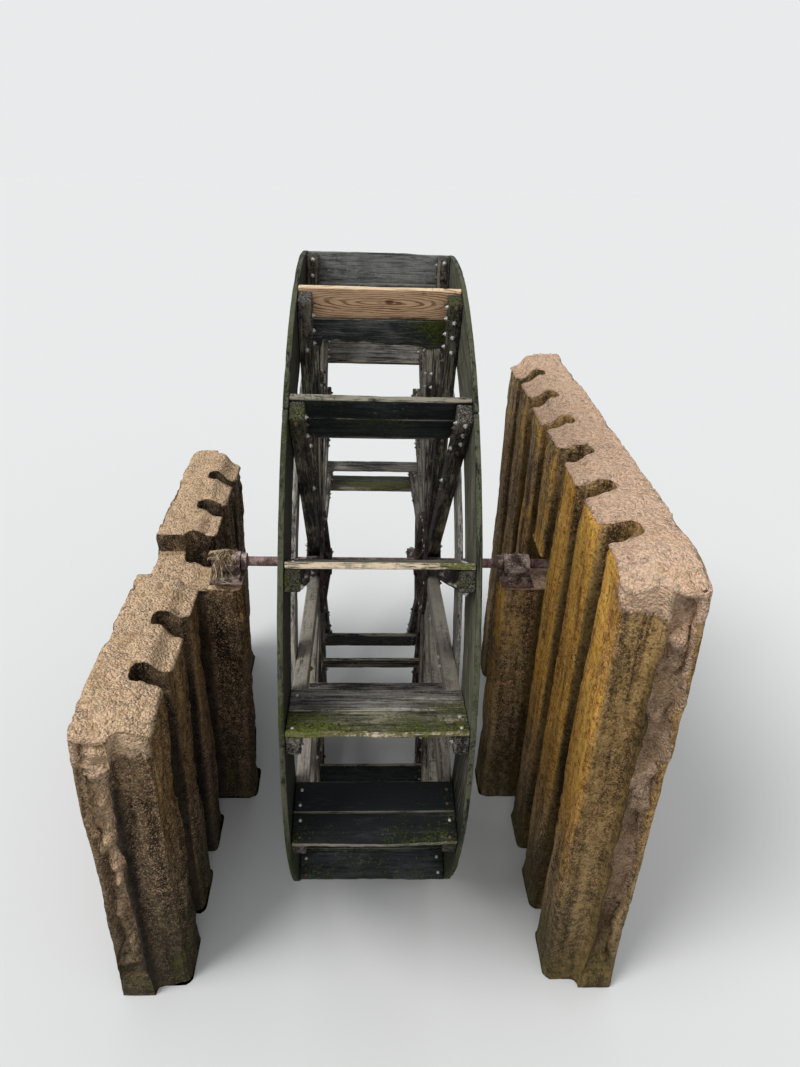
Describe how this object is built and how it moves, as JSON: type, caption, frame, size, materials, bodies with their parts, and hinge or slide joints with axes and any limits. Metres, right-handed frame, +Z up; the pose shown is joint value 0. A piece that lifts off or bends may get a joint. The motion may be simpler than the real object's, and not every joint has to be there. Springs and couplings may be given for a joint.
{
  "type": "timber water wheel between pit walls",
  "caption": "Timber paddle wheel on an iron axle in plain bearings, standing between two ribbed concrete pit walls; the wheel turns freely.",
  "frame": {"origin": "on the pit floor under the middle of the axle, which is the middle of the bounding box's underside", "axes": "+X along the axle towards its drive end, +Y the way the water runs, +Z up"},
  "size_m": [4.2, 5.4858, 5.5929],
  "materials": {
    "left_concrete": "weathered exposed-aggregate concrete, brown and damp",
    "right_concrete": "weathered exposed-aggregate concrete with ochre algae",
    "bearing_iron": "rusted casting",
    "plate_steel": "rusted plate",
    "rusty_iron": "rusted iron",
    "arm_timber": "weathered squared timber, grey to black",
    "rim_timber": "weathered planks with lichen and algae",
    "paddle_boards": "weathered boards, mossy, one new"
  },
  "bodies": {
    "stand": {"left_wall_upstream": "left_concrete", "left_wall_downstream": "left_concrete", "left_bearing_pier": "left_concrete", "right_wall_upstream": "right_concrete", "right_wall_downstream": "right_concrete", "right_bearing_pier": "right_concrete", "right_wall_over_axle": "right_concrete", "left_sole_plate": "plate_steel", "right_sole_plate": "plate_steel", "left_bearing_base": "bearing_iron", "right_bearing_base": "bearing_iron", "left_bearing_cap": "bearing_iron", "right_bearing_cap": "bearing_iron", "left_bearing_bolts": "bearing_iron", "right_bearing_bolts": "bearing_iron"},
    "wheel": {"axle": "rusty_iron", "set_collars": "rusty_iron", "left_hub": "rusty_iron", "right_hub": "rusty_iron", "left_clamp_ring": "rusty_iron", "right_clamp_ring": "rusty_iron", "left_arms": "arm_timber", "right_arms": "arm_timber", "left_rim": "rim_timber", "right_rim": "rim_timber", "left_inner_ring": "rim_timber", "right_inner_ring": "rim_timber", "cross_ties": "arm_timber", "paddle_01": "paddle_boards", "paddle_02": "paddle_boards", "paddle_03": "paddle_boards", "paddle_04": "paddle_boards", "paddle_05": "paddle_boards", "paddle_06": "paddle_boards", "paddle_07": "paddle_boards", "paddle_08": "paddle_boards", "paddle_09": "paddle_boards", "paddle_10": "paddle_boards", "paddle_11": "paddle_boards", "paddle_12": "paddle_boards", "paddle_13": "paddle_boards", "paddle_14": "paddle_boards", "paddle_15": "paddle_boards", "paddle_16": "paddle_boards"}
  },
  "joints": [
    {"name": "wheel_spin", "type": "hinge", "parent": "stand", "child": "wheel", "pos_m": [0, 0, 2.85], "axis": [1, 0, 0], "continuous": true}
  ]
}
